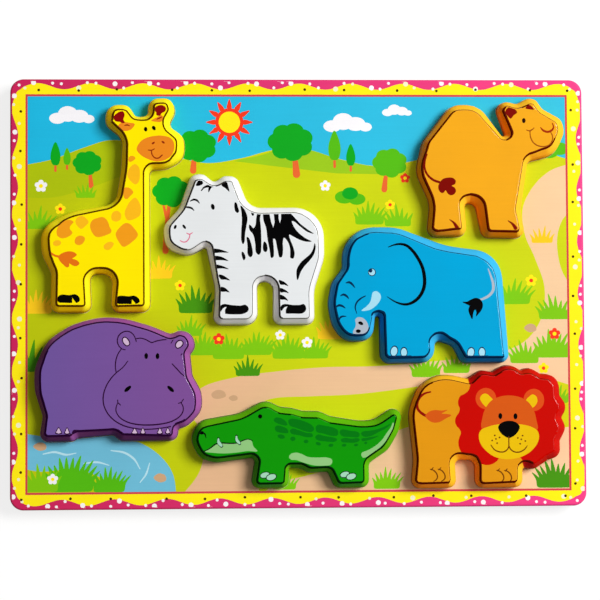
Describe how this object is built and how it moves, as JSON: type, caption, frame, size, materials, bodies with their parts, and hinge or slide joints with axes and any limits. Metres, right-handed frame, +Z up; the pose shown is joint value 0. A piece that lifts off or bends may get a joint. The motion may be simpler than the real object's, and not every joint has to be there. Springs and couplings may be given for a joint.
{
  "type": "wooden chunky puzzle",
  "caption": "Flat wooden board with sawn-out recesses, each holding a thick animal-shaped block with rounded edges that lifts straight out.",
  "frame": {"origin": "middle of the board's underside, on the surface that the puzzle lies on", "axes": "+X along the board's long side, to the right of the picture; +Y up the picture; +Z up, the way the blocks lift out"},
  "size_m": [0.3, 0.224, 0.022],
  "materials": {
    "bare_plywood": "bare plywood, lightly sealed",
    "printed_board": "printed landscape under gloss lacquer",
    "giraffe_paint": "yellow paint and print under gloss lacquer",
    "zebra_paint": "white paint and black print under gloss lacquer",
    "elephant_paint": "blue paint and print under gloss lacquer",
    "camel_paint": "orange paint and print under gloss lacquer",
    "hippo_paint": "purple paint and print under gloss lacquer",
    "crocodile_paint": "green paint and print under gloss lacquer",
    "lion_paint": "red and amber paint and print under gloss lacquer"
  },
  "bodies": {
    "board": {"back_panel": "bare_plywood", "frame_board": "printed_board"},
    "giraffe_block": {"giraffe": "giraffe_paint"},
    "zebra_block": {"zebra": "zebra_paint"},
    "elephant_block": {"elephant": "elephant_paint"},
    "camel_block": {"camel": "camel_paint"},
    "hippo_block": {"hippo": "hippo_paint"},
    "crocodile_block": {"crocodile": "crocodile_paint"},
    "lion_block": {"lion": "lion_paint"}
  },
  "joints": [
    {"name": "giraffe_lift", "type": "slide", "parent": "board", "child": "giraffe_block", "axis": [0, 0, 1], "range_m": [0, 0.03]},
    {"name": "zebra_lift", "type": "slide", "parent": "board", "child": "zebra_block", "axis": [0, 0, 1], "range_m": [0, 0.03]},
    {"name": "elephant_lift", "type": "slide", "parent": "board", "child": "elephant_block", "axis": [0, 0, 1], "range_m": [0, 0.03]},
    {"name": "camel_lift", "type": "slide", "parent": "board", "child": "camel_block", "axis": [0, 0, 1], "range_m": [0, 0.03]},
    {"name": "hippo_lift", "type": "slide", "parent": "board", "child": "hippo_block", "axis": [0, 0, 1], "range_m": [0, 0.03]},
    {"name": "crocodile_lift", "type": "slide", "parent": "board", "child": "crocodile_block", "axis": [0, 0, 1], "range_m": [0, 0.03]},
    {"name": "lion_lift", "type": "slide", "parent": "board", "child": "lion_block", "axis": [0, 0, 1], "range_m": [0, 0.03]}
  ]
}
